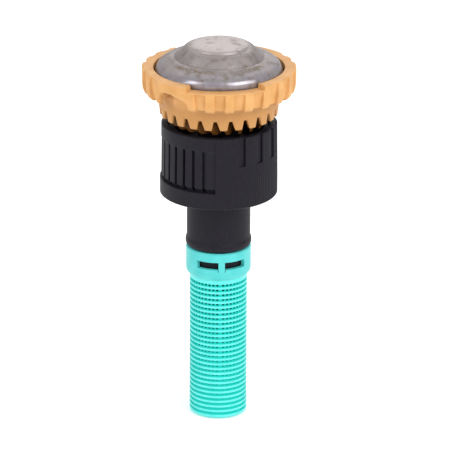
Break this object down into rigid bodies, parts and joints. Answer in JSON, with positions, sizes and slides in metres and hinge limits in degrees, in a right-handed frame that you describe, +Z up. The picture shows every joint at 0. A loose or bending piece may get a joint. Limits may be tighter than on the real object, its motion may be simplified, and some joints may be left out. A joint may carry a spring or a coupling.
{
  "type": "rotary sprinkler nozzle",
  "caption": "Rotary multi-stream spray head for a pop-up sprinkler: steel cap, toothed deflector, black adjusting collar, threaded neck and a slim filter screen.",
  "frame": {"origin": "centre of the flat bottom of the filter screen", "axes": "+Z up along the shaft, from the filter to the cap; -Y is the front, where a notch in the grip ring shows the edge of the cap"},
  "size_m": [0.0332, 0.0332, 0.0847],
  "materials": {
    "teal_plastic": "satin moulded, slightly see-through",
    "black_plastic": "satin moulded",
    "tan_plastic": "satin moulded",
    "white_plastic": "satin moulded",
    "grey_plastic": "satin moulded",
    "seal_rubber": "matte moulded",
    "bright_steel": "bright turned stainless",
    "worn_steel": "pressed stainless, worn and stained"
  },
  "bodies": {
    "base": {"nozzle_base": "black_plastic", "neck_o_ring": "seal_rubber", "nozzle_cover": "black_plastic"},
    "filter": {"filter_screen": "teal_plastic"},
    "collar": {"radius_collar": "black_plastic", "cover_o_ring": "seal_rubber"},
    "throttle": {"throttle_nut": "white_plastic"},
    "arc_sleeve": {"valve_sleeve": "black_plastic"},
    "lift": {"shaft": "bright_steel", "shaft_nut": "bright_steel", "spring_washer": "bright_steel", "return_spring": "bright_steel", "friction_disk": "white_plastic", "thrust_washer": "bright_steel", "shaft_clip": "bright_steel"},
    "rotor": {"deflector": "tan_plastic", "lip_seal": "seal_rubber", "seal_retainer": "grey_plastic", "brake_pad": "seal_rubber", "cap": "worn_steel"}
  },
  "joints": [
    {"name": "filter_pull", "type": "slide", "parent": "base", "child": "filter", "axis": [0, 0, -1], "range_m": [0, 0.006]},
    {"name": "radius_turn", "type": "hinge", "parent": "base", "child": "collar", "pos_m": [0, 0, 0.055], "axis": [0, 0, 1], "range_deg": [-270, 270]},
    {"name": "throttle_screw", "type": "slide", "parent": "collar", "child": "throttle", "axis": [0, 0, 1], "range_m": [-0.0012, 0.0012]},
    {"name": "arc_turn", "type": "hinge", "parent": "base", "child": "arc_sleeve", "pos_m": [0, 0, 0.065], "axis": [0, 0, 1], "range_deg": [-135, 90]},
    {"name": "head_lift", "type": "slide", "parent": "base", "child": "lift", "axis": [0, 0, 1], "range_m": [-0.001, 0.005], "stiffness_N_per_m": 500, "deforming": ["return_spring"]},
    {"name": "rotor_spin", "type": "hinge", "parent": "lift", "child": "rotor", "pos_m": [0, 0, 0.075], "axis": [0, 0, 1], "continuous": true}
  ],
  "couplings": [
    {"joint": "radius_turn", "follows": "throttle_screw", "rad_per_m": 3927}
  ]
}
